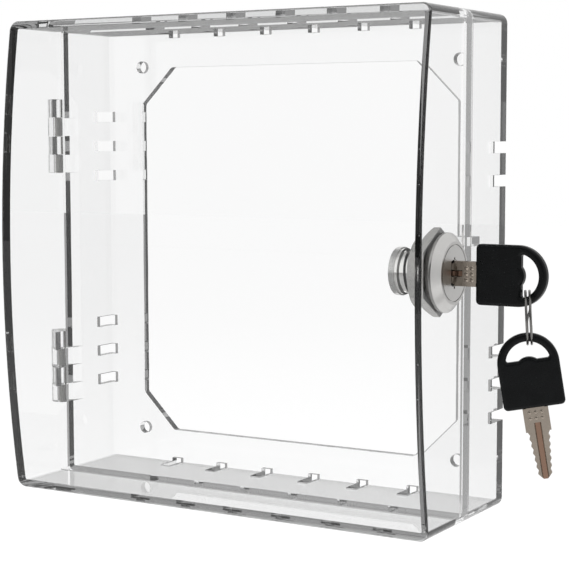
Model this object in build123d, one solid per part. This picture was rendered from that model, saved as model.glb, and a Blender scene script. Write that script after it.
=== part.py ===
from build123d import *
import os
from math import acos, asin, atan2, ceil, cos, degrees, hypot, radians, sin, sqrt

# A clear lock box that guards a wall thermostat. Millimetres.
# X runs to the right, Y runs back into the wall and Z runs up.
# The origin lies on the wall, midway between the four screw holes.

# ---------------------------------------------------------------- the clear box
box_width = 148.0
box_height = 150.0
wall = 2.5
base_depth = 25.0
cover_depth = 27.5
front_bulge = 6.0
parting_gap = 0.2
lip_thickness = 0.7
rebate_hinge_side = 2.3
rebate_lock_side = 4.5
rebate_ends = 7.0
corner_radius = 3.0
overcut = 1.0
front_edge_radius = 0.7
screw_inset_side = 16.0
screw_inset_top = 13.2
screw_hole_radius = 2.0
opening_step = 0.2
opening_chamfer = 12.3
opening_corner_radius = 1.5

# vent slots, cut through the walls of the base and open at its back
slot_width = 3.5
slot_reach = 9.5
slot_bite = 1.2
side_slot_pitch = 10.0
side_group_height = 35.2
right_low_group_height = 36.2
end_slot_pitch = 17.9
end_slot_count = 6

# ---------------------------------------------------------------- the two hinges
hinge_height = 38.6
knuckle_count = 4
knuckle_pitch = 6.1
knuckle_gap = 0.15
knuckle_radius = 3.3
hinge_clearance = 0.2
gusset_length = 7.5
pin_radius = 1.05
pin_fit = 0.01
pin_running_clearance = 0.06

# ---------------------------------------------------------------- the cam lock
lock_setback = 17.6
lock_z = 0.4
flange_radius = 11.35
flange_edge = 0.8
flange_height = 2.9
bezel_face_radius = 8.9
thread_radius = 7.0
thread_depth = 0.85
thread_pitch = 2.0
thread_root = 1.6
thread_crest = 0.56
barrel_flat = 5.9
barrel_end_wall = 1.15
collar_length = 0.3
collar_step = 0.1
thread_runout = 0.3
wall_hole_clearance = 0.1
lug_width = 3.0
lug_height = 1.1
lug_root = 1.5
nut_across_flats = 22.0
nut_thickness = 3.0
washer_thickness = 0.6
washer_radius = 9.6
seat_clearance = 0.05

plug_radius = 4.85
plug_running_clearance = 0.05
plug_head_radius = 8.1
plug_head_thickness = 1.45
keyway_clearance = 0.12
keyway_spare = 0.25
face_slot_height = 8.8
face_slot_width = 0.8
face_slot_depth = 0.7
face_recess_radius = 3.9
face_recess_depth = 0.5
face_groove_width = 0.25
face_groove_depth = 0.3

wafer_count = 5
wafer_thickness = 0.6
wafer_clearance = 0.06
wafer_half_width = 2.9
wafer_window = 0.3
wafer_setback = 3.5
wafer_end_room = 1.05
groove_spare = 0.5
ear_width = 1.3
ear_height = 0.9
spring_radius = 0.55
spring_wire = 0.28
spring_turns = 2.5
spring_length = 2.5

stop_washer_thickness = 0.75
stop_washer_radius = 6.6
stop_tongue_width = 3.0
stop_tongue_length = 1.2
stop_tongue_thickness = 1.0
lock_turn = 90.0
lock_rest = 78.0
tail_radius = 3.6
tail_flat = 2.6
tail_fit = 0.05
cam_thickness = 1.65
cam_hub_radius = 6.9
cam_arm_width = 8.4
cam_barb_length = 3.0
cam_barb_rise = 0.8
spring_washer_thickness = 0.5
spring_washer_radius = 3.7
spring_washer_slit = 0.7
cam_screw_radius = 1.95
cam_screw_clearance = 0.05
screw_tip_spare = 0.5
screw_tip_room = 0.2
screw_head_radius = 3.5
screw_head_height = 1.3
recess_width = 0.9
recess_length = 4.2
recess_depth = 0.8

# the ledge inside the base that the cam hooks behind
strike_setback = 2.5
strike_depth = 5.5
strike_rise = 6.1
strike_thickness = 2.7
strike_overreach = 1.0
hook_clearance = 0.4

# ---------------------------------------------------------------- keys and ring
key_width = 7.0
key_thickness = 2.0
key_length = 20.0
key_shown = 6.9
key_root_length = 6.6
key_step = 0.45
key_tip_width = 3.9
key_point_length = 1.6
key_cut_pitch = 2.0
key_cut_depth = 0.45
key_groove_width = 2.0
key_groove_depth = 0.35
key_groove_slope = 0.35
tang_width = 5.0
tang_length = 8.5
dot_radius = 0.62
dot_height = 0.3
dot_pitch = 1.65
dot_setback = 1.2

head_length = 20.8
head_width = 17.0
head_thickness = 3.0
head_corner_radius = 1.3
head_edge_radius = 0.95
bow_rim = 2.35
bow_flat = 13.3
bow_corner_radius = 0.6
bow_bump_height = 0.9
bow_bump_width = 5.0

ring_diameter = 15.3
ring_wire = 0.7
ring_strand_gap = 0.42
ring_crossing = 40.0
ring_end_gap = 4.0
ring_yaw = 22.0
ring_lean = 3.2
ring_hang_x = 14.95
ring_hang_z = 4.0
spare_tilt = 9.4
spare_hang_side = 1.2
spare_seat = 0.42

# ---------------------------------------------------------------- worked out
half_width = box_width / 2
half_height = box_height / 2
screw_x = half_width - screw_inset_side
screw_z = half_height - screw_inset_top
parting_y = -base_depth
front_y = parting_y - cover_depth
arch_radius = (half_height**2 + front_bulge**2) / (2 * front_bulge)
arch_centre_y = front_y - front_bulge + arch_radius

hinge_x = -half_width - knuckle_radius - hinge_clearance
hinge_y = parting_y

lock_y = parting_y - lock_setback
thread_root_radius = thread_radius - thread_depth
bore_radius = plug_radius + plug_running_clearance
counterbore_depth = plug_head_thickness + seat_clearance
keyway_x = flange_height + key_shown - key_length - keyway_spare
wafer_pitch = (flange_height - wafer_setback - keyway_x - wafer_end_room) / (wafer_count - 1)
screw_tip_x = keyway_x - screw_tip_spare
barrel_length = barrel_end_wall - keyway_x
shoulder_x = -barrel_length - seat_clearance
stop_x = shoulder_x - stop_washer_thickness
cam_x = stop_x - cam_thickness
tail_x = cam_x + tail_fit * 2
spring_washer_x = cam_x - spring_washer_thickness

strike_y_front = parting_y + strike_setback
strike_y_back = strike_y_front + strike_depth
strike_z_low = lock_z + strike_rise
strike_z_high = strike_z_low + strike_thickness
strike_x = half_width + cam_x - strike_overreach
hook_start = hypot(strike_y_back - lock_y, strike_z_high - lock_z) + hook_clearance
hook_top = strike_z_high - lock_z + cam_barb_rise

key_x = half_width + flange_height + key_shown
head_half = head_width / 2
bow_centre = head_length - head_half
bow_radius = head_half - bow_rim
ring_mid_radius = (ring_diameter - ring_wire) / 2
ring_strand_offset = (ring_wire + ring_strand_gap) / 2
sideways = Vector(cos(radians(ring_yaw)), sin(radians(ring_yaw)), 0)
forwards = Vector(sin(radians(ring_yaw)), -cos(radians(ring_yaw)), 0)
upwards = Vector(0, 0, 1)
ring_normal = sideways * cos(radians(ring_lean)) + upwards * sin(radians(ring_lean))
ring_down = sideways * sin(radians(ring_lean)) - upwards * cos(radians(ring_lean))
ring_top = Vector(key_x + ring_hang_x, lock_y, lock_z - ring_hang_z)
ring_centre = ring_top + ring_down * ring_mid_radius
ring_bottom = ring_centre + ring_down * ring_mid_radius


# ---------------------------------------------------------------- small helpers
def block(x_from, x_to, y_from, y_to, z_from, z_to):
    """A square-cornered block between two opposite corners."""
    centre = Pos((x_from + x_to) / 2, (y_from + y_to) / 2, (z_from + z_to) / 2)
    return centre * Box(abs(x_to - x_from), abs(y_to - y_from), abs(z_to - z_from))


def x_bar(radius, x_from, x_to):
    """A round bar that lies along X."""
    return Pos((x_from + x_to) / 2, 0, 0) * Rot(0, 90, 0) * Cylinder(radius, abs(x_to - x_from))


def x_cone(radius_from, radius_to, x_from, x_to):
    """A cone that lies along X, from the low x to the high x."""
    middle = Pos((x_from + x_to) / 2, 0, 0)
    return middle * Rot(0, 90, 0) * Cone(radius_from, radius_to, x_to - x_from)


def x_ring(outer_radius, inner_radius, x_from, x_to):
    """A flat ring around the X axis."""
    return x_bar(outer_radius, x_from, x_to) - x_bar(inner_radius, x_from - overcut, x_to + overcut)


def z_bar(radius, x, y, z_low, z_high):
    """A round bar that stands along Z."""
    return Pos(x, y, (z_low + z_high) / 2) * Cylinder(radius, z_high - z_low)


def tube_block(width, height, radius, y_back, y_front):
    """A rounded rectangle in X and Z, run forward from y_back to y_front."""
    outline = Plane.XZ.offset(-y_back) * RectangleRounded(width, height, radius)
    return extrude(outline, y_back - y_front)


def at_rest_turn(shape):
    """Turn what follows the plug's tail to where it rests, just short of locked."""
    return Rot(lock_rest, 0, 0) * shape


def at_lock(shape):
    """Carry a lock piece from its own axis to its place in the right wall."""
    return Pos(half_width, lock_y, lock_z) * shape


# ---------------------------------------------------------------- the clear box
def wall_slots():
    """Every vent slot, as solids that run out through the back of the base."""
    cuts = []
    bite = wall + slot_bite
    groups = [
        (-half_width, side_group_height, (-1, 0, 1)),
        (-half_width, -side_group_height, (-1, 0, 1)),
        (half_width, side_group_height, (-1, 0)),
        (half_width, -right_low_group_height, (-1, 0, 1)),
    ]
    for x_wall, height, steps in groups:
        x_inner = x_wall - bite if x_wall > 0 else x_wall + bite
        x_outer = x_wall + overcut if x_wall > 0 else x_wall - overcut
        for step in steps:
            z = height + step * side_slot_pitch
            cuts.append(
                block(x_outer, x_inner, -slot_reach, overcut, z - slot_width / 2, z + slot_width / 2)
            )
    for side in (-1, 1):
        z_outer = side * (half_height + overcut)
        z_inner = side * (half_height - bite)
        for index in range(end_slot_count):
            x = (index - (end_slot_count - 1) / 2) * end_slot_pitch
            cuts.append(
                block(x - slot_width / 2, x + slot_width / 2, -slot_reach, 1, z_inner, z_outer)
            )
    return cuts


def back_opening():
    """The chamfered opening in the back plate that goes round the thermostat."""
    width = 2 * (screw_x - opening_step)
    height = 2 * (screw_z - opening_step)
    outline = Rectangle(width, height)
    outline = chamfer(outline.vertices(), opening_chamfer)
    outline = fillet(outline.vertices(), opening_corner_radius)
    return extrude(Plane.XZ.offset(-overcut) * outline, wall + 2 * overcut)


def screw_holes():
    """The four round holes for the wall screws."""
    return [
        Pos(x, -wall / 2, z) * Rot(90, 0, 0) * Cylinder(screw_hole_radius, wall + 2 * overcut)
        for x in (-screw_x, screw_x)
        for z in (-screw_z, screw_z)
    ]


def knuckle(top_z, side, bore_clearance):
    """One hinge knuckle with its gusset. side is 1 on the base and -1 on the cover."""
    z_low = top_z - knuckle_pitch + knuckle_gap / 2
    z_high = top_z - knuckle_gap / 2
    barrel = z_bar(knuckle_radius, hinge_x, hinge_y, z_low, z_high)
    wall_x = -half_width
    foot = Vector(wall_x, hinge_y + side * gusset_length)
    reach_x = foot.X - hinge_x
    reach_y = foot.Y - hinge_y
    distance = hypot(reach_x, reach_y)
    turn = atan2(reach_y, reach_x) + side * acos(knuckle_radius / distance)
    tangent_x = hinge_x + knuckle_radius * cos(turn)
    tangent_y = hinge_y + knuckle_radius * sin(turn)
    near_y = hinge_y + side * parting_gap / 2
    root_x = wall_x + lip_thickness / 2
    outline = Polyline(
        (hinge_x, hinge_y),
        (tangent_x, tangent_y),
        (foot.X, foot.Y),
        (root_x, foot.Y),
        (root_x, near_y),
        (hinge_x, near_y),
        close=True,
    )
    gusset = extrude(Pos(0, 0, z_low) * make_face(outline), z_high - z_low)
    bore = z_bar(pin_radius + bore_clearance, hinge_x, hinge_y, z_low - overcut, z_high + overcut)
    return barrel + gusset - bore


def knuckles(first, side, bore_clearance):
    """Every other knuckle of both hinges, counted from the top one."""
    rows = []
    for hinge_z in (hinge_height, -hinge_height):
        top_z = hinge_z + knuckle_count * knuckle_pitch / 2
        for index in range(first, knuckle_count, 2):
            rows.append(knuckle(top_z - index * knuckle_pitch, side, bore_clearance))
    return rows


def rear_base():
    """The shallow half that is screwed to the wall, with its vents and strike ledge."""
    open_y = parting_y + parting_gap / 2
    shell = tube_block(box_width, box_height, corner_radius, 0, open_y)
    inner_radius = max(corner_radius - wall, wall / 5)
    shell -= tube_block(
        box_width - 2 * wall, box_height - 2 * wall, inner_radius, -wall, open_y - overcut
    )
    shell -= back_opening()
    shell -= screw_holes()
    shell -= wall_slots()
    ledge_root = half_width - wall / 2
    shell += block(
        strike_x, ledge_root, strike_y_front, strike_y_back, strike_z_low, strike_z_high
    )
    shell += knuckles(1, 1, pin_fit)
    return shell


def arch_block(inset):
    """Everything behind the arched front, which is set back by inset."""
    radius = arch_radius - inset
    reach = half_height + overcut
    edge_y = arch_centre_y - sqrt(radius**2 - reach**2)
    middle_y = arch_centre_y - radius
    side = Line((overcut, -reach), (edge_y, -reach))
    arch = ThreePointArc((edge_y, -reach), (middle_y, 0), (edge_y, reach))
    top = Line((edge_y, reach), (overcut, reach))
    back = Line((overcut, reach), (overcut, -reach))
    face = make_face([side, arch, top, back])
    return extrude(Plane.YZ * face, half_width + overcut, both=True)


def edge_rebate(back_y):
    """The rebate inside the cover's edge, deeper on the lock side and at the ends."""
    lip_x = half_width - lip_thickness
    lip_z = half_height - lip_thickness
    inner_x = half_width - wall
    inner_z = half_height - wall
    behind = back_y + overcut
    rebate = tube_block(
        2 * lip_x, 2 * lip_z, corner_radius - lip_thickness, behind, back_y - rebate_hinge_side
    )
    rebate += block(0, lip_x, back_y - rebate_lock_side, behind, -inner_z, inner_z)
    rebate += block(-inner_x, inner_x, back_y - rebate_ends, behind, -lip_z, lip_z)
    return rebate


def front_cover():
    """The deep half that swings on the hinges. Its edge is rebated down to a thin lip."""
    back_y = parting_y - parting_gap / 2
    far_y = front_y - front_bulge - overcut
    outer = tube_block(box_width, box_height, corner_radius, back_y, far_y) & arch_block(0)
    rim = outer.faces().sort_by(Axis.Y)[0].edges()
    outer = fillet(rim, front_edge_radius)
    inner_radius = max(corner_radius - wall, wall / 5)
    hollow = tube_block(
        box_width - 2 * wall, box_height - 2 * wall, inner_radius, back_y + overcut, far_y
    )
    shell = outer - (hollow & arch_block(wall))
    shell -= edge_rebate(back_y)
    hole = x_bar(thread_radius + wall_hole_clearance, -wall - overcut, overcut)
    shell -= at_lock(hole & flats(-wall - overcut, overcut, wall_hole_clearance))
    shell -= at_lock(lock_lug(wall_hole_clearance))
    shell += knuckles(0, -1, pin_running_clearance)
    return shell


def hinge_pin(hinge_z):
    """One metal pin, as long as its four knuckles."""
    half = knuckle_count * knuckle_pitch / 2 - knuckle_gap / 2
    return z_bar(pin_radius, hinge_x, hinge_y, hinge_z - half, hinge_z + half)


# ---------------------------------------------------------------- the cam lock
# Lock pieces are drawn on the X axis, with x = 0 on the outside of the right wall.
def lock_lug(clearance):
    """The key under the flange that stops the barrel from turning in the wall."""
    outer = thread_radius + lug_height + clearance
    half = lug_width / 2 + clearance
    return block(-wall * 0.8 - clearance, 0.1, -half, half, thread_radius - lug_root, outer)


def thread_ridge(x_from, x_to):
    """A helical ridge around the X axis."""
    path = Helix(thread_pitch, x_to - x_from, thread_root_radius)
    frame = Plane(origin=path @ 0, x_dir=(1, 0, 0), z_dir=(0, -1, 0))
    root = thread_root / 2
    crest = thread_crest / 2
    outline = Polyline(
        (-0.3, -root), (thread_depth, -crest), (thread_depth, crest), (-0.3, root), close=True
    )
    ridge = sweep(frame * make_face(outline), path=path, is_frenet=True)
    return Pos(x_from, 0, 0) * Rot(0, 90, 0) * ridge


def stop_sector(x_from, x_to, spare):
    """The cut-away part of the barrel's inner end, where the stop tongue travels."""
    inner = stop_washer_radius - stop_tongue_thickness
    tongue = 2 * asin((stop_tongue_width / 2 + spare) / inner)
    sweep_angle = lock_turn + degrees(tongue)
    steps = ceil(sweep_angle / 30)
    reach = thread_radius * 1.4
    start = radians(-90) - tongue / 2
    points = [(0, 0)]
    for index in range(steps + 1):
        angle = start + radians(sweep_angle) * index / steps
        points.append((reach * cos(angle), reach * sin(angle)))
    face = make_face(Polyline(*points, close=True))
    wedge = extrude(Plane.YZ.offset(x_from) * face, x_to - x_from)
    return wedge


def flats(x_from, x_to, clearance):
    """What lies between the flats on the top and the bottom of the barrel."""
    reach = flange_radius
    flat = barrel_flat + clearance
    return block(x_from, x_to, -reach, reach, -flat, flat)


def lock_barrel():
    """The bezel and the threaded barrel, one casting."""
    inner_x = -barrel_length
    barrel = x_bar(thread_root_radius, inner_x, 0.5)
    barrel += thread_ridge(inner_x + collar_length + thread_runout, -2 * thread_runout)
    barrel += x_bar(thread_radius - collar_step, inner_x, inner_x + collar_length)
    barrel &= flats(inner_x - overcut, overcut, 0)
    barrel += x_bar(flange_radius, 0, flange_edge)
    barrel += x_cone(flange_radius, bezel_face_radius, flange_edge, flange_height)
    barrel += lock_lug(0)
    face_x = flange_height
    barrel -= x_bar(bore_radius, inner_x - overcut, face_x + overcut)
    pocket = plug_head_radius + plug_running_clearance
    barrel -= x_bar(pocket, face_x - counterbore_depth, face_x + overcut)
    groove = wafer_half_width + wafer_clearance + 0.1
    groove_end = wafer_x(wafer_count - 1) - groove_spare
    barrel -= block(
        groove_end, 0, -groove, groove, -plug_radius - 0.5, plug_radius + 0.5
    )
    barrel -= stop_sector(inner_x - overcut, inner_x + stop_tongue_length + 0.15, 0.15)
    return barrel


def lock_washer():
    """The flat washer between the nut and the inside of the wall."""
    return x_ring(washer_radius, thread_radius + seat_clearance, -wall - washer_thickness, -wall)


def lock_nut():
    """The hex nut inside the wall, its corners chamfered on both faces."""
    x_near = -wall - washer_thickness
    x_far = x_near - nut_thickness
    across_corners = nut_across_flats / cos(radians(30)) / 2
    outline = Rot(0, 0, 90) * RegularPolygon(across_corners, 6)
    nut = extrude(Plane.YZ.offset(x_far) * outline, nut_thickness)
    trim = (across_corners - nut_across_flats / 2) * 0.95
    nut &= x_cone(across_corners - trim, across_corners, x_far, x_far + trim * 0.6) + x_bar(
        across_corners, x_far + trim * 0.6, x_near
    )
    return nut - x_bar(thread_radius + seat_clearance, x_far - overcut, x_near + overcut)


def wafer_x(index):
    """The inner face of one wafer, counted from the front."""
    return flange_height - wafer_setback - index * wafer_pitch


def ear_outer():
    """How far the wafers' ears reach from the lock's axis."""
    return wafer_half_width + ear_width


def spring_pocket(index, clearance):
    """The round pocket beside a wafer, which holds its spring."""
    x = wafer_x(index) + wafer_thickness / 2
    y = wafer_half_width + ear_width / 2
    return z_bar(spring_radius + clearance, x, y, ear_bottom() - spring_length, ear_bottom())


def ear_bottom():
    """The under side of the wafers' ears, which the springs push on."""
    return 0.4


def lock_plug():
    """The turning plug, with its keyway, wafer slots and tail."""
    face_x = flange_height
    plug = x_bar(plug_head_radius, face_x - plug_head_thickness, face_x)
    plug += x_bar(plug_radius, shoulder_x, face_x - 0.5)
    tail = x_bar(tail_radius, tail_x, shoulder_x + 0.5)
    plug += at_rest_turn(
        tail & block(tail_x - overcut, shoulder_x + overcut, -tail_flat, tail_flat, -tail_radius, tail_radius)
    )
    half = key_thickness / 2 + keyway_clearance
    high = key_width / 2 + keyway_clearance
    plug -= block(keyway_x, face_x + overcut, -half, half, -high, high)
    plug -= x_bar(face_recess_radius, face_x - face_recess_depth, face_x + overcut)
    slot_half = face_slot_width / 2
    slot_reach_z = face_slot_height / 2
    plug -= block(
        face_x - face_slot_depth, face_x + overcut, -slot_half, slot_half, -slot_reach_z, slot_reach_z
    )
    groove_radius = plug_head_radius - face_groove_width
    groove_from = face_x - face_groove_depth
    plug -= x_ring(plug_head_radius + overcut, groove_radius, groove_from, face_x + overcut)
    slot_y = wafer_half_width + wafer_clearance
    ear_y = ear_outer() + wafer_clearance
    ear_top = ear_bottom() + ear_height + 0.6
    for index in range(wafer_count):
        x_low = wafer_x(index) - wafer_clearance
        x_high = wafer_x(index) + wafer_thickness + wafer_clearance
        plug -= block(x_low, x_high, -slot_y, slot_y, -plug_radius - overcut, plug_radius + overcut)
        plug -= block(x_low, x_high, 0, ear_y, ear_bottom() - 0.3, ear_top)
        plug -= spring_pocket(index, 0.12)
    screw = cam_screw_radius + cam_screw_clearance
    plug -= x_bar(screw, tail_x - overcut, screw_tip_x + screw_tip_room)
    return plug


def wafer(index):
    """One wafer: a plate with a window for the blade and an ear for its spring."""
    x_low = wafer_x(index)
    x_high = x_low + wafer_thickness
    reach = plug_radius - 0.1
    half = wafer_half_width
    plate = block(x_low, x_high, -half, half, -reach, reach) & x_bar(reach, x_low, x_high)
    plate += block(x_low, x_high, 0, ear_outer(), ear_bottom(), ear_bottom() + ear_height)
    window_y = key_thickness / 2 + wafer_window
    window_z = key_width / 2 + wafer_window
    return plate - block(x_low - overcut, x_high + overcut, -window_y, window_y, -window_z, window_z)


def wafer_springs():
    """The small springs that push the wafers out, one unbroken wire each."""
    wire = spring_wire / 2
    low = ear_bottom() - spring_length + wire * 2
    high = ear_bottom() - wire * 2
    path = Helix((high - low) / spring_turns, high - low, spring_radius - wire)
    section = Plane(origin=path @ 0, z_dir=path % 0) * Circle(wire)
    coil = sweep(section, path=path, is_frenet=True)
    y = wafer_half_width + ear_width / 2
    return [
        Pos(wafer_x(index) + wafer_thickness / 2, y, low) * coil for index in range(wafer_count)
    ]


def tail_hole(x_from, x_to):
    """The flat-sided hole that fits the plug's tail."""
    round_part = x_bar(tail_radius + tail_fit, x_from, x_to)
    flat = tail_flat + tail_fit
    reach = tail_radius + overcut
    return round_part & block(x_from, x_to, -flat, flat, -reach, reach)


def stop_washer():
    """The washer whose tongue limits the plug to a quarter turn."""
    disc = x_bar(stop_washer_radius, stop_x, shoulder_x)
    tongue_end = shoulder_x + stop_tongue_length
    half = stop_tongue_width / 2
    inner = stop_washer_radius - stop_tongue_thickness
    tongue = block(stop_x, tongue_end, -half, half, -stop_washer_radius, -inner)
    tongue &= x_bar(stop_washer_radius, stop_x, tongue_end)
    return disc + tongue - tail_hole(stop_x - overcut, shoulder_x + overcut)


def lock_cam():
    """The hooked cam, drawn as it hangs when the box is unlocked."""
    half = cam_arm_width / 2
    hook_end = hook_start + cam_barb_length
    cam = x_bar(cam_hub_radius, cam_x, stop_x)
    cam += block(cam_x, stop_x, -half, half, -hook_end, 0)
    cam += block(cam_x, stop_x, 0, hook_top, -hook_end, -hook_start)
    corners = cam.edges().filter_by(Axis.X).sort_by(Axis.Z)[0:2]
    cam = fillet(corners, cam_barb_length / 3)
    return cam - tail_hole(cam_x - overcut, stop_x + overcut)


def spring_washer():
    """The split washer under the cam screw's head."""
    inner = cam_screw_radius + cam_screw_clearance
    ring = x_ring(spring_washer_radius, inner, spring_washer_x, cam_x)
    slit = block(
        spring_washer_x - overcut, cam_x + overcut, -spring_washer_slit / 2, spring_washer_slit / 2, 0,
        spring_washer_radius + overcut,
    )
    return ring - slit


def cam_screw():
    """The pan-head screw that holds the cam on the plug's tail."""
    head_x = spring_washer_x - screw_head_height
    screw = x_bar(screw_head_radius, head_x, spring_washer_x)
    screw = fillet(screw.edges().sort_by(Axis.X)[0], screw_head_height * 0.4)
    screw += x_bar(cam_screw_radius, spring_washer_x - 0.1, screw_tip_x)
    half = recess_width / 2
    reach = recess_length / 2
    screw -= block(head_x - overcut, head_x + recess_depth, -half, half, -reach, reach)
    screw -= block(head_x - overcut, head_x + recess_depth, -reach, reach, -half, half)
    return screw


# ---------------------------------------------------------------- keys and ring
# A key is drawn flat: x runs from the blade's tip to the bow, x = 0 where they meet.
def blade_outline():
    """The blade's outline, with a row of small cuts along both edges."""
    half = key_width / 2
    cut_start = -key_root_length
    cut_end = -key_length + key_point_length
    cut_count = max(2, round((cut_start - cut_end) / key_cut_pitch))
    start_half = half - key_step
    end_half = key_tip_width / 2
    edge = [(tang_length, tang_width / 2), (0, tang_width / 2), (0, half), (cut_start, half)]
    for index in range(cut_count):
        for share, depth in ((0.0, 0.0), (0.5, key_cut_depth)):
            along = (index + share) / cut_count
            x = cut_start + (cut_end - cut_start) * along
            width = start_half + (end_half - start_half) * along
            edge.append((x, width - depth))
    edge.append((cut_end, end_half))
    tip = [(-key_length, end_half * 0.3), (-key_length, -end_half * 0.3)]
    lower = [(x, -y) for x, y in reversed(edge)]
    return make_face(Polyline(*edge, *tip, *lower, close=True))


def side_groove():
    """The groove with sloped sides along the upper face of the blade."""
    half = key_thickness / 2
    top = key_groove_width / 2
    floor = top - key_groove_slope
    level = half - key_groove_depth
    outline = Polyline(
        (-top, half), (-top, half + overcut), (top, half + overcut), (top, half),
        (floor, level), (-floor, level), close=True,
    )
    tip = key_length + overcut
    start = dot_setback + dot_pitch + 2 * dot_radius
    return extrude(Plane.YZ.offset(-tip) * make_face(outline), tip - start)


def key_blade():
    """The metal blade, with its tang, side grooves and small domed dots."""
    blade = extrude(Pos(0, 0, -key_thickness / 2) * blade_outline(), key_thickness)
    blade -= side_groove()
    blade -= Rot(180, 0, 0) * side_groove()
    dome_radius = (dot_radius**2 + dot_height**2) / (2 * dot_height)
    sunk = key_thickness / 2 + dot_height - dome_radius
    for side in (-1, 1):
        for column in (0, 1):
            for row in (-1, 0, 1):
                x = -dot_setback - column * dot_pitch
                blade += Pos(x, row * dot_pitch, side * sunk) * Sphere(dome_radius)
    return blade


def bow_hole():
    """The D-shaped hole in the bow, with the small bump on its straight side."""
    disc = Pos(bow_centre, 0) * Circle(bow_radius)
    keep = Pos(bow_flat + head_length / 2, 0) * Rectangle(head_length, head_width)
    outline = disc & keep
    outline = fillet(outline.vertices(), bow_corner_radius)
    bump_half = bow_bump_width / 2
    bump_radius = (bump_half**2 + bow_bump_height**2) / (2 * bow_bump_height)
    bump = Pos(bow_flat + bow_bump_height - bump_radius, 0) * Circle(bump_radius)
    return outline - bump


def key_head():
    """The moulded head, rounded all over its edges."""
    shank = bow_centre
    outline = Pos(shank / 2, 0) * Rectangle(shank, head_width) + Pos(bow_centre, 0) * Circle(head_half)
    corners = outline.vertices().sort_by(Axis.X)[0:2]
    outline = fillet(corners, head_corner_radius)
    outline = outline - bow_hole()
    head = extrude(Pos(0, 0, -head_thickness / 2) * outline, head_thickness)
    flats = head.faces().filter_by(Axis.Z)
    head = fillet(flats.edges(), min(head_edge_radius, head_thickness * 0.45))
    half_tang = tang_width / 2
    half = key_thickness / 2
    return head - block(-1, tang_length, -half_tang, half_tang, -half, half)


def split_ring():
    """The split ring: two flat turns of one wire, joined by a smooth crossing."""
    radius = ring_mid_radius
    offset = ring_strand_offset
    half_crossing = ring_crossing / 2
    first = CenterArc(
        (0, 0, 0), radius, half_crossing + ring_end_gap, 360 - ring_crossing - ring_end_gap
    )
    first = Pos(0, 0, -offset) * first
    second = CenterArc((0, 0, 0), radius, half_crossing, 360 - ring_crossing - ring_end_gap)
    second = Pos(0, 0, offset) * second
    middle = (hypot(radius, offset), 0, 0)
    rise = TangentArc(first @ 1, middle, tangent=first % 1)
    settle = TangentArc(middle, second @ 0, tangent=rise % 1)
    path = Wire([first.edge(), rise.edge(), settle.edge(), second.edge()])
    section = Plane(origin=path @ 0, z_dir=path % 0) * Circle(ring_wire / 2)
    return sweep(section, path=path)


def key_plane():
    """Where the key in the lock stands."""
    return Plane(origin=(key_x, lock_y, lock_z), x_dir=(1, 0, 0), z_dir=(0, -1, 0))


def ring_plane():
    """Where the ring hangs. Its crossing faces away from both keys."""
    return Plane(origin=ring_centre, x_dir=-forwards, z_dir=ring_normal)


def spare_plane():
    """Where the spare key hangs from the bottom of the ring."""
    tilt = radians(spare_tilt)
    along = upwards * cos(tilt) - sideways * sin(tilt)
    across = sideways * cos(tilt) + upwards * sin(tilt)
    to_wire = bow_radius - ring_wire / 2 - spare_seat
    hang = bow_centre + sqrt(to_wire**2 - spare_hang_side**2)
    origin = ring_bottom - along * hang - across * spare_hang_side
    return Plane(origin=origin, x_dir=along, z_dir=forwards)


def placed(plane, shape):
    """Carry a shape from its drawing plane to its place."""
    return plane.location * shape


# ---------------------------------------------------------------- every piece
def pieces():
    """Each piece under its own name, in its place."""
    made = {
        "rear_base": rear_base(),
        "front_cover": front_cover(),
        "hinge_pin_upper": hinge_pin(hinge_height),
        "hinge_pin_lower": hinge_pin(-hinge_height),
        "lock_barrel": at_lock(lock_barrel()),
        "lock_washer": at_lock(lock_washer()),
        "lock_nut": at_lock(lock_nut()),
        "lock_plug": at_lock(lock_plug()),
        "stop_washer": at_lock(at_rest_turn(stop_washer())),
        "lock_cam": at_lock(at_rest_turn(lock_cam())),
        "spring_washer": at_lock(spring_washer()),
        "cam_screw": at_lock(cam_screw()),
        "wafer_springs": Compound([at_lock(coil) for coil in wafer_springs()]),
        "key_blade": placed(key_plane(), key_blade()),
        "key_head": placed(key_plane(), key_head()),
        "split_ring": placed(ring_plane(), split_ring()),
        "spare_key_blade": placed(spare_plane(), key_blade()),
        "spare_key_head": placed(spare_plane(), key_head()),
    }
    for index in range(wafer_count):
        made[f"wafer_{index + 1}"] = at_lock(wafer(index))
    return made


os.makedirs("parts", exist_ok=True)
for name, shape in pieces().items():
    export_step(shape, f"parts/{name}.step")
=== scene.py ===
from math import radians

import bpy
from bpy.props import FloatProperty, FloatVectorProperty, PointerProperty
from mathutils import Euler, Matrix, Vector


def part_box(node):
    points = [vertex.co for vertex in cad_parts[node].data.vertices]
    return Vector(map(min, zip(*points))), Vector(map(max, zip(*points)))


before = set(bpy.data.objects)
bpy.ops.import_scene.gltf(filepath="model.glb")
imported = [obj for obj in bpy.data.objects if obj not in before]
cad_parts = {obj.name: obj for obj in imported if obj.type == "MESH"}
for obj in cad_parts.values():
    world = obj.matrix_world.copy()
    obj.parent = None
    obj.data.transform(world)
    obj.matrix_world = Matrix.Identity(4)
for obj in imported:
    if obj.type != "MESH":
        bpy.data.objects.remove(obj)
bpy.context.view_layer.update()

bl_info = {
    "name": "Clear lock box",
    "version": (1, 0, 0),
    "blender": (4, 5, 0),
    "location": "3D View > Sidebar > Lock Box",
    "description": "Dresses the clear lock box: moulded shells, cam lock, keys and split ring",
    "category": "Object",
}

COVER_WALL = 0.0025   # the right wall, between the washer and the bezel
POLISH_AND_PAINT_FADE = 0.0005  # how far along X the lock turns from polished to satin, and the painted highlight and shade on the thread crests and flanks fade out
WAFER_COUNT = 5

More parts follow.
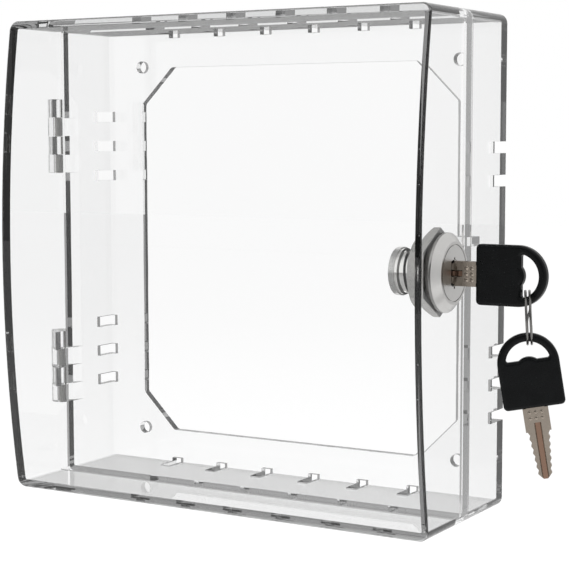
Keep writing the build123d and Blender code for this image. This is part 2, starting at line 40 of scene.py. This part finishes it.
# The lamps' names, places, sizes and watts. Each one faces the origin.
LAMPS = (
    ("key_lamp", (-0.7, -0.9, 0.9), 0.7, 7),
    ("fill_lamp", (0.9, -0.5, 0.3), 0.6, 3),
    ("top_lamp", (0.0, 0.2, 1.1), 0.8, 4),
)

# A ray that is turned back inside the plastic loses its light between these numbers of turns.
FEW_TURNS, MANY_TURNS = 3, 4
FEW_TURNS_LIGHT, MANY_TURNS_LIGHT = 0.4, 0.03


# ---------------------------------------------------------------- settings
class ShellSettings(bpy.types.PropertyGroup):
    """The clear moulded plastic of the base and the cover."""

    tint: FloatVectorProperty(
        name="Tint", description="Colour that the plastic lets through",
        subtype="COLOR", size=3, min=0, max=1, default=(0.994, 0.995, 0.995),
    )
    ior: FloatProperty(
        name="Refraction", description="How strongly the plastic bends light",
        min=1.3, max=1.7, default=1.49,
    )
    smoke: FloatProperty(
        name="Smoke", description="Light lost per metre of plastic", min=0, max=200, default=10.0,
    )
    smoke_colour: FloatVectorProperty(
        name="Smoke colour", description="Colour that is left after a long way through the plastic",
        subtype="COLOR", size=3, min=0, max=1, default=(0.55, 0.555, 0.56),
    )
    shadow: FloatProperty(
        name="Shadow", description="Share of a lamp's light that passes one face", min=0, max=1, default=0.93,
    )


class MetalSettings(bpy.types.PropertyGroup):
    """The plated metals of the lock, the pins, the blades and the ring."""

    nickel: FloatVectorProperty(
        name="Nickel", description="Satin nickel of the lock",
        subtype="COLOR", size=3, min=0, max=1, default=(0.52, 0.514, 0.503),
    )
    nut: FloatVectorProperty(
        name="Nut", description="Bright plate of the nut",
        subtype="COLOR", size=3, min=0, max=1, default=(0.72, 0.71, 0.69),
    )
    # Painted shade: the washer is coloured dark to stand for the shade beside the flange.
    washer: FloatVectorProperty(
        name="Washer", description="Dark steel of the washer",
        subtype="COLOR", size=3, min=0, max=1, default=(0.2, 0.19, 0.18),
    )
    zinc: FloatVectorProperty(
        name="Zinc", description="Bright zinc of the cam and its fixings",
        subtype="COLOR", size=3, min=0, max=1, default=(0.66, 0.66, 0.65),
    )
    brass: FloatVectorProperty(
        name="Brass", description="Stamped brass of the wafers",
        subtype="COLOR", size=3, min=0, max=1, default=(0.72, 0.56, 0.3),
    )
    pin: FloatVectorProperty(
        name="Pin", description="Dull steel of the hinge pins",
        subtype="COLOR", size=3, min=0, max=1, default=(0.36, 0.355, 0.335),
    )
    blade: FloatVectorProperty(
        name="Blade", description="Worn nickel of the key blades",
        subtype="COLOR", size=3, min=0, max=1, default=(0.34, 0.295, 0.25),
    )
    ring: FloatVectorProperty(
        name="Ring", description="Dark steel of the split ring",
        subtype="COLOR", size=3, min=0, max=1, default=(0.17, 0.166, 0.16),
    )


class KeySettings(bpy.types.PropertyGroup):
    """The keys' moulded heads, and the dirt and painted shade on their blades."""

    black: FloatVectorProperty(
        name="Black", description="Colour of the moulded heads",
        subtype="COLOR", size=3, min=0, max=1, default=(0.002, 0.0023, 0.0025),
    )
    # Brown dirt colour that also serves as painted shade in the blades' grooves, cuts and edges.
    grime_and_shade: FloatVectorProperty(
        name="Grime and shade", description="Colour in the blades' grooves and cuts",
        subtype="COLOR", size=3, min=0, max=1, default=(0.26, 0.165, 0.12),
    )
    blade_half: FloatProperty(
        name="Half blade", description="Half the thickness of a blade",
        subtype="DISTANCE", unit="LENGTH", min=0.0005, max=0.003, default=0.001,
    )
    main_place: FloatVectorProperty(
        name="Key place", description="A point in the middle plane of the key in the lock",
        subtype="TRANSLATION", unit="LENGTH", size=3, default=(0.0838, -0.0426, 0.0004),
    )
    main_normal: FloatVectorProperty(
        name="Key facing", description="Square to the blade of the key in the lock",
        subtype="DIRECTION", size=3, default=(0, -1, 0),
    )
    spare_place: FloatVectorProperty(
        name="Spare key place", description="A point in the middle plane of the spare key",
        subtype="TRANSLATION", unit="LENGTH", size=3, default=(0.0995056, -0.0422947, -0.0181772),
    )
    spare_normal: FloatVectorProperty(
        name="Spare key facing", description="Square to the blade of the spare key",
        subtype="DIRECTION", size=3, default=(0.374607, -0.927184, 0),
    )


class StageSettings(bpy.types.PropertyGroup):
    """The camera and the floor."""

    camera_place: FloatVectorProperty(
        name="Camera place", description="Where the camera stands",
        subtype="TRANSLATION", unit="LENGTH", size=3, default=(0.2643, -0.4526, 0.0390),
    )
    camera_turn: FloatVectorProperty(
        name="Camera turn", description="Pitch, roll and yaw of the camera",
        subtype="EULER", unit="ROTATION", size=3, default=(radians(84.38), radians(0.10), radians(30.62)),
    )
    sensor: FloatProperty(
        name="Sensor", description="Width of the camera's frame, in millimetres", min=8, max=70, default=36,
    )
    lens: FloatProperty(
        name="Lens", description="Focal length, in millimetres", min=20, max=300, default=98.69,
    )
    floor_size: FloatProperty(
        name="Floor size", description="Length of the floor's side",
        subtype="DISTANCE", unit="LENGTH", min=1, max=50, default=12,
    )
    floor_drop: FloatProperty(
        name="Floor drop", description="How far the floor lies below the wall screws' centre",
        subtype="DISTANCE", unit="LENGTH", min=0.08, max=2, default=0.35,
    )


# ---------------------------------------------------------------- shader helpers
def new_material(name):
    """An empty node material, with its tree and its output."""
    material = bpy.data.materials.new(name)
    material.use_nodes = True
    tree = material.node_tree
    tree.nodes.clear()
    return material, tree, tree.nodes.new("ShaderNodeOutputMaterial")


def node(tree, kind, links=(), **sockets):
    """One node. sockets set inputs or attributes by name, and links feed inputs from other sockets."""
    made = tree.nodes.new(kind)
    for name, value in sockets.items():
        label = name.replace("_", " ")
        if label in made.inputs:
            made.inputs[label].default_value = value
        else:
            setattr(made, name, value)
    for label, source in links:
        tree.links.new(source, made.inputs[label])
    return made


def noise(tree, scale, detail, stretch=(1, 1, 1)):
    """Noise over the piece's own coordinates, stretched where the finish has a grain."""
    place = node(tree, "ShaderNodeTexCoord").outputs["Object"]
    mapped = node(tree, "ShaderNodeMapping", [("Vector", place)], Scale=stretch).outputs[0]
    made = node(tree, "ShaderNodeTexNoise", [("Vector", mapped)], Scale=scale, Detail=detail, Roughness=0.5)
    return made.outputs["Fac"]


def ramp(tree, source, low, high, out_low, out_high):
    """Carries low to high onto out_low to out_high, and holds the ends."""
    made = node(tree, "ShaderNodeMapRange", [("Value", source)])
    for label, value in (("From Min", low), ("From Max", high), ("To Min", out_low), ("To Max", out_high)):
        made.inputs[label].default_value = value
    return made.outputs[0]


def bump(tree, height, distance, strength):
    """A bump from a height."""
    made = node(tree, "ShaderNodeBump", [("Height", height)], Distance=distance, Strength=strength)
    return made.outputs[0]


def along_x(tree, kind):
    """How far along X a point lies, for Object, or looks, for Normal."""
    vector = node(tree, "ShaderNodeTexCoord").outputs[kind]
    return node(tree, "ShaderNodeSeparateXYZ", [(0, vector)]).outputs["X"]


def size_of(tree, value):
    """A value without its sign."""
    return node(tree, "ShaderNodeMath", [(0, value)], operation="ABSOLUTE").outputs[0]


def product(tree, first, second):
    """Two values multiplied."""
    return node(tree, "ShaderNodeMath", [(0, first), (1, second)], operation="MULTIPLY").outputs[0]


def scaled(tree, colour, factor):
    """A colour made darker or lighter."""
    return node(tree, "ShaderNodeVectorMath", [(0, colour), ("Scale", factor)], operation="SCALE").outputs[0]


def feed(tree, made, first, second):
    """Sets a Mix node's two inputs, each from a socket or to a plain value."""
    for name, value in (("A", first), ("B", second)):
        target = next(entry for entry in made.inputs if entry.name == name and entry.enabled)
        if isinstance(value, bpy.types.NodeSocket):
            tree.links.new(value, target)
        else:
            target.default_value = value


def between(tree, share, first, second):
    """A value between two."""
    made = node(tree, "ShaderNodeMix", [(0, share)])
    feed(tree, made, first, second)
    return made.outputs[0]


def blend_colours(tree, share, first, second):
    """A colour between two."""
    made = node(tree, "ShaderNodeMix", [(0, share)], data_type="RGBA")
    feed(tree, made, first, second)
    return next(entry for entry in made.outputs if entry.enabled)


def turns_light(tree):
    """Light that is left after the turns that a ray has made inside the plastic."""
    turns = node(tree, "ShaderNodeLightPath").outputs["Glossy Depth"]
    return ramp(tree, turns, FEW_TURNS, MANY_TURNS, FEW_TURNS_LIGHT, MANY_TURNS_LIGHT)


def shown(tree, plain, to_camera, to_glossy, to_deep):
    """A brightness by the kind of ray. Deep rays were turned back inside the plastic."""
    path = node(tree, "ShaderNodeLightPath").outputs
    turned = node(tree, "ShaderNodeMath", [(0, path["Glossy Depth"])], operation="GREATER_THAN")
    turned.inputs[1].default_value = 0.5
    through = between(tree, turned.outputs[0], to_camera, to_deep)
    level = plain
    for share, value in (
        (path["Is Glossy Ray"], to_glossy),
        (path["Is Transmission Ray"], through),
        (path["Is Camera Ray"], to_camera),
    ):
        level = between(tree, share, level, value)
    return level


def dress(name, material):
    """Gives a CAD node its material."""
    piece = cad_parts[name]
    piece.data.materials.clear()
    piece.data.materials.append(material)


# ---------------------------------------------------------------- finishes
def clear_plastic(settings):
    """Polished clear plastic: refracts, loses a little light, and lets lamps through."""
    material, tree, output = new_material("clear_plastic")
    scratches = noise(tree, 900, 2, stretch=(1, 1, 0.06))
    haze = ramp(tree, noise(tree, 30, 4), 0.35, 0.75, 0.0, 0.012)
    glass = node(
        tree, "ShaderNodeBsdfPrincipled",
        [("Roughness", haze), ("Normal", bump(tree, scratches, 0.00002, 0.05))],
        Base_Color=(*settings.tint, 1), IOR=settings.ior, Transmission_Weight=1.0,
    )
    lamp_way = node(tree, "ShaderNodeBsdfTransparent", Color=(*[settings.shadow] * 3, 1))
    for_lamps = node(tree, "ShaderNodeLightPath").outputs["Is Shadow Ray"]
    mixed = node(
        tree, "ShaderNodeMixShader", [(0, for_lamps), (1, glass.outputs[0]), (2, lamp_way.outputs[0])],
    )
    tree.links.new(mixed.outputs[0], output.inputs["Surface"])
    smoke = node(
        tree, "ShaderNodeVolumeAbsorption", Color=(*settings.smoke_colour, 1), Density=settings.smoke,
    )
    tree.links.new(smoke.outputs[0], output.inputs["Volume"])
    return material


def plated_metal(name, base, rough, grain, stretch=(1, 1, 1), wear=0.06, extra=None):
    """Plated metal with a fine grain and slight stains.

    extra changes the colour and the roughness by place. It takes the tree and both, and returns both.
    """
    material, tree, output = new_material(name)
    lines = noise(tree, grain, 3, stretch=stretch)
    stains = ramp(tree, noise(tree, 90, 3), 0.35, 0.7, 0, 1)
    stained = [channel * (1 - wear) for channel in base]
    colour = blend_colours(tree, stains, (*base, 1), (*stained, 1))
    roughness = ramp(tree, lines, 0.3, 0.7, rough * 0.85, rough * 1.2)
    if extra:
        colour, roughness = extra(tree, colour, roughness)
    shader = node(
        tree, "ShaderNodeBsdfPrincipled",
        [("Base Color", colour), ("Roughness", roughness), ("Normal", bump(tree, lines, 0.000006, 0.2))],
        Metallic=1.0,
    )
    tree.links.new(shader.outputs[0], output.inputs["Surface"])
    return material


def paint_shade_on_flat(tree, colour, roughness):
    """Paints shade on the nut's flat side, which looks along +X, as the shade it lies in against the washer.
    """
    shade = ramp(tree, along_x(tree, "Normal"), 0.9, 0.97, 1.0, 0.3)
    return scaled(tree, colour, shade), roughness


def polish_and_paint_thread_light(satin_from):
    """Polishes the lock up to satin_from along X, and paints a highlight on the thread crests and shade on
    the thread flanks.
    """
    def extra(tree, colour, roughness):
        turn = (tree, along_x(tree, "Object"), satin_from - POLISH_AND_PAINT_FADE, satin_from)
        # Painted highlight on the thread crests and painted shade on their flanks.
        crest_highlight_flank_shade = ramp(tree, size_of(tree, along_x(tree, "Normal")), 0.3, 0.7, 1.8, 0.25)
        shade = between(tree, ramp(*turn, 0.0, 1.0), crest_highlight_flank_shade, 1.0)
        return scaled(tree, colour, shade), product(tree, roughness, ramp(*turn, 0.3, 1.0))
    return extra


def grimed_and_shaded(grime_and_shade, place, normal, half):
    """Colours what lies deeper than a blade's two faces, its grooves, cuts and edges: partly brown dirt,
    partly painted shade in these recesses and along the edges.
    """
    def extra(tree, colour, roughness):
        point = node(tree, "ShaderNodeTexCoord").outputs["Object"]
        away = node(tree, "ShaderNodeVectorMath", [(0, point)], operation="SUBTRACT")
        away.inputs[1].default_value = place
        along = node(tree, "ShaderNodeVectorMath", [(0, away.outputs[0])], operation="DOT_PRODUCT")
        along.inputs[1].default_value = normal
        height = size_of(tree, along.outputs["Value"])
        # Painted shade, partly dirt: darker brown where the blade lies below its two faces.
        share = ramp(tree, height, half * 0.67, half * 0.8, 1.0, 0.0)
        return blend_colours(tree, share, colour, (*grime_and_shade, 1)), roughness
    return extra


def grained_black(name, base):
    """Black moulded plastic with a fine spark-eroded grain."""
    material, tree, output = new_material(name)
    grain = noise(tree, 2600, 4)
    mottle = ramp(tree, noise(tree, 300, 3), 0.3, 0.7, 0, 1)
    rubbed = [channel * 1.7 for channel in base]
    colour = blend_colours(tree, mottle, (*base, 1), (*rubbed, 1))
    shader = node(
        tree, "ShaderNodeBsdfPrincipled",
        [("Base Color", colour), ("Roughness", ramp(tree, grain, 0.3, 0.7, 0.24, 0.36)),
         ("Normal", bump(tree, grain, 0.00005, 0.6))],
        Specular_IOR_Level=0.13,
    )
    tree.links.new(shader.outputs[0], output.inputs["Surface"])
    return material


# ---------------------------------------------------------------- stage
def floor_material():
    """Pale floor paper that is white to the camera but keeps shadows."""
    material, tree, output = new_material("floor_paper")
    speckle = ramp(tree, noise(tree, 40, 4), 0, 1, 0.97, 1.0)
    tone = product(tree, speckle, shown(tree, 0.9, 0.3, 0.9, turns_light(tree)))
    paper = node(tree, "ShaderNodeBsdfDiffuse", [("Color", tone)])
    glow = node(tree, "ShaderNodeEmission", [("Strength", shown(tree, 0.0, 0.8, 0.2, 0.0))])
    both = node(tree, "ShaderNodeAddShader", [(0, paper.outputs[0]), (1, glow.outputs[0])])
    tree.links.new(both.outputs[0], output.inputs["Surface"])
    return material


def studio_world():
    """A white surround, with a soft slope of light for metal and a dark side for the plastic's depths."""
    world = bpy.data.worlds.new("studio")
    world.use_nodes = True
    tree = world.node_tree
    tree.nodes.clear()
    output = tree.nodes.new("ShaderNodeOutputWorld")
    direction = node(tree, "ShaderNodeTexCoord").outputs["Generated"]
    toward = node(tree, "ShaderNodeSeparateXYZ", [(0, direction)]).outputs
    height = ramp(tree, toward["Z"], -0.7, 0.5, 0.45, 1.1)
    dim_front = ramp(tree, toward["Y"], -0.5, -0.8, 1.0, 0.25)
    bright_front = ramp(tree, toward["Y"], 0.2, -0.5, 0.9, 2.4)
    dim_right = ramp(tree, toward["X"], 0.6, 0.9, 1.0, 0.25)
    slope = product(tree, height, dim_front)
    deep = product(tree, product(tree, bright_front, dim_right), turns_light(tree))
    level = shown(tree, 0.7, 1.0, slope, deep)
    light = node(tree, "ShaderNodeBackground", [("Strength", level)], Color=(1, 1, 1, 1))
    tree.links.new(light.outputs[0], output.inputs["Surface"])
    return world


def area_lamp(name, place, size, power):
    """A square softbox that faces the origin and shows in no reflection."""
    data = bpy.data.lights.new(name, "AREA")
    data.size = size
    data.energy = power
    lamp = bpy.data.objects.new(name, data)
    lamp.location = place
    lamp.rotation_euler = (-Vector(place)).to_track_quat("-Z", "Y").to_euler()
    lamp.visible_transmission = False
    lamp.visible_glossy = False
    bpy.context.scene.collection.objects.link(lamp)


# ---------------------------------------------------------------- operators
class LOCKBOX_OT_stage(bpy.types.Operator):
    """Make the floor, the lights, the world and the camera."""

    bl_idname = "lockbox.stage"
    bl_label = "Stage"

    def execute(self, context):
        settings = context.scene.lockbox_stage
        scene = context.scene
        bpy.ops.mesh.primitive_plane_add(size=settings.floor_size, location=(0, 0, -settings.floor_drop))
        floor = context.object
        floor.name = "floor"
        floor.data.materials.append(floor_material())
        for lamp in LAMPS:
            area_lamp(*lamp)
        scene.world = studio_world()
        data = bpy.data.cameras.new("camera")
        data.lens = settings.lens
        data.sensor_width = settings.sensor
        camera = bpy.data.objects.new("camera", data)
        camera.location = settings.camera_place
        camera.rotation_euler = Euler(settings.camera_turn)
        scene.collection.objects.link(camera)
        scene.camera = camera
        scene.view_settings.view_transform = "Standard"
        scene.cycles.max_bounces = 24
        scene.cycles.glossy_bounces = 10
        scene.cycles.transmission_bounces = 20
        return {"FINISHED"}


class LOCKBOX_OT_shells(bpy.types.Operator):
    """Dress the clear base and cover."""

    bl_idname = "lockbox.shells"
    bl_label = "Clear Shells"

    def execute(self, context):
        plastic = clear_plastic(context.scene.lockbox_shell)
        for name in ("rear_base", "front_cover"):
            dress(name, plastic)
        return {"FINISHED"}


class LOCKBOX_OT_pins(bpy.types.Operator):
    """Dress the two hinge pins."""

    bl_idname = "lockbox.pins"
    bl_label = "Hinge Pins"

    def execute(self, context):
        metal = context.scene.lockbox_metal
        steel = plated_metal("pin_steel", metal.pin, 0.45, 900, stretch=(1, 1, 0.05))
        for name in ("hinge_pin_upper", "hinge_pin_lower"):
            dress(name, steel)
        return {"FINISHED"}


class LOCKBOX_OT_lock(bpy.types.Operator):
    """Dress the cam lock."""

    bl_idname = "lockbox.lock"
    bl_label = "Cam Lock"

    def execute(self, context):
        metal = context.scene.lockbox_metal
        # Inside the cover the lock gets a painted highlight on its thread crests and painted shade on the
        # flanks.
        polish_and_thread_light = polish_and_paint_thread_light(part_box("lock_washer")[1][0] + COVER_WALL)
        nickel = plated_metal("satin_nickel", metal.nickel, 0.32, 700, wear=0.03, extra=polish_and_thread_light)
        for name in ("lock_barrel", "lock_plug", "stop_washer"):
            dress(name, nickel)
        # The nut's flat side gets painted shade.
        bright_with_painted_shade = plated_metal("nut_nickel_painted_shade", metal.nut, 0.2, 700, wear=0.03, extra=paint_shade_on_flat)
        dress("lock_nut", bright_with_painted_shade)
        # The washer's dark colour is painted shade beside the flange.
        dress("lock_washer", plated_metal("washer_painted_dark_as_shade", metal.washer, 0.3, 700))
        steel = plated_metal("zinc_steel", metal.zinc, 0.3, 800, stretch=(1, 0.2, 1))
        for name in ("lock_cam", "spring_washer", "cam_screw", "wafer_springs"):
            dress(name, steel)
        brass = plated_metal("wafer_brass", metal.brass, 0.3, 900, stretch=(1, 0.1, 1))
        for index in range(WAFER_COUNT):
            dress(f"wafer_{index + 1}", brass)
        return {"FINISHED"}


class LOCKBOX_OT_keys(bpy.types.Operator):
    """Dress both keys and their ring."""

    bl_idname = "lockbox.keys"
    bl_label = "Keys and Ring"

    def execute(self, context):
        metal = context.scene.lockbox_metal
        keys = context.scene.lockbox_keys
        for name, place, normal in (
            ("key_blade", keys.main_place, keys.main_normal),
            ("spare_key_blade", keys.spare_place, keys.spare_normal),
        ):
            # Each blade gets dirt and painted shade in its grooves, cuts and edges.
            grime_and_shade = grimed_and_shaded(keys.grime_and_shade, place, normal, keys.blade_half)
            worn_and_shaded = plated_metal(
                f"{name}_metal", metal.blade, 0.2, 900, stretch=(0.1, 1, 1), wear=0.14, extra=grime_and_shade,
            )
            dress(name, worn_and_shaded)
        black = grained_black("black_plastic", keys.black)
        for name in ("key_head", "spare_key_head"):
            dress(name, black)
        dress("split_ring", plated_metal("ring_wire", metal.ring, 0.22, 700))
        return {"FINISHED"}


STEPS = (
    LOCKBOX_OT_stage,
    LOCKBOX_OT_shells,
    LOCKBOX_OT_pins,
    LOCKBOX_OT_lock,
    LOCKBOX_OT_keys,
)


class LOCKBOX_PT_panel(bpy.types.Panel):
    """Lists the steps that dress the lock box."""

    bl_label = "Lock Box"
    bl_idname = "LOCKBOX_PT_panel"
    bl_space_type = "VIEW_3D"
    bl_region_type = "UI"
    bl_category = "Lock Box"

    def draw(self, context):
        for step in STEPS:
            self.layout.operator(step.bl_idname)


CLASSES = (ShellSettings, MetalSettings, KeySettings, StageSettings, *STEPS, LOCKBOX_PT_panel)


def register():
    """Adds the classes, and their settings to the scene."""
    for item in CLASSES:
        bpy.utils.register_class(item)
    bpy.types.Scene.lockbox_shell = PointerProperty(type=ShellSettings)
    bpy.types.Scene.lockbox_metal = PointerProperty(type=MetalSettings)
    bpy.types.Scene.lockbox_keys = PointerProperty(type=KeySettings)
    bpy.types.Scene.lockbox_stage = PointerProperty(type=StageSettings)


def unregister():
    """Takes the settings and the classes out again."""
    del bpy.types.Scene.lockbox_stage
    del bpy.types.Scene.lockbox_keys
    del bpy.types.Scene.lockbox_metal
    del bpy.types.Scene.lockbox_shell
    for item in reversed(CLASSES):
        bpy.utils.unregister_class(item)


def main():
    """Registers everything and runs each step."""
    register()
    for step in STEPS:
        group, name = step.bl_idname.split(".")
        getattr(getattr(bpy.ops, group), name)()


if __name__ == "__main__":
    main()
